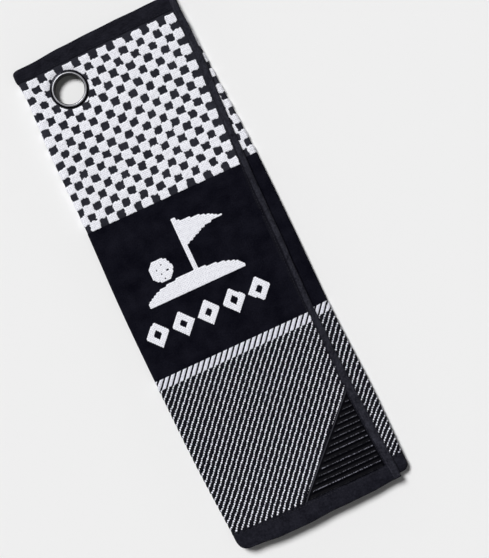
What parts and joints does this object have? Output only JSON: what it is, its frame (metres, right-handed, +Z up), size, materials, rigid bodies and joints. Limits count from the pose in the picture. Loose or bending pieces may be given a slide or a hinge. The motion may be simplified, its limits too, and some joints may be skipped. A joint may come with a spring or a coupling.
{
  "type": "folded golf towel",
  "caption": "Square terry golf towel folded lengthwise in three, with hemmed edges, a metal eyelet through all layers for hanging, and a front panel that opens like a page.",
  "frame": {"origin": "under the middle of the folded towel's bounding box, on the surface it lies on", "axes": "+Y along the towel's length towards the eyelet end, +Z up from the table to the front panel's face, +X across to the front panel's free edge"},
  "size_m": [0.1802, 0.5, 0.01],
  "materials": {
    "terry_cloth": "matte looped and sheared pile, black with white pattern in the visual layer",
    "woven_hem": "matte black flat weave, turned and sewn",
    "thread": "charcoal polyester sewing thread, slight sheen",
    "black_nickel": "glossy black nickel plating"
  },
  "bodies": {
    "folded_body": {"back_panel": "terry_cloth", "left_fold": "terry_cloth", "right_fold": "terry_cloth", "inner_panel": "terry_cloth", "front_panel_held": "terry_cloth", "top_hem": "woven_hem", "bottom_hem": "woven_hem", "inner_side_hem": "woven_hem", "top_hem_thread": "thread", "bottom_hem_thread": "thread", "inner_side_thread": "thread", "eyelet": "black_nickel", "eyelet_washer": "black_nickel"},
    "flap_body": {"front_flap": "terry_cloth", "top_hem_flap": "woven_hem", "bottom_hem_flap": "woven_hem", "front_side_hem": "woven_hem", "top_flap_thread": "thread", "bottom_flap_thread": "thread", "front_side_thread": "thread"}
  },
  "joints": [
    {"name": "front_flap_open", "type": "hinge", "parent": "folded_body", "child": "flap_body", "pos_m": [-0.043, 0, 0.0088], "axis": [-0.1152, -0.9933, 0], "range_deg": [0, 160]}
  ]
}
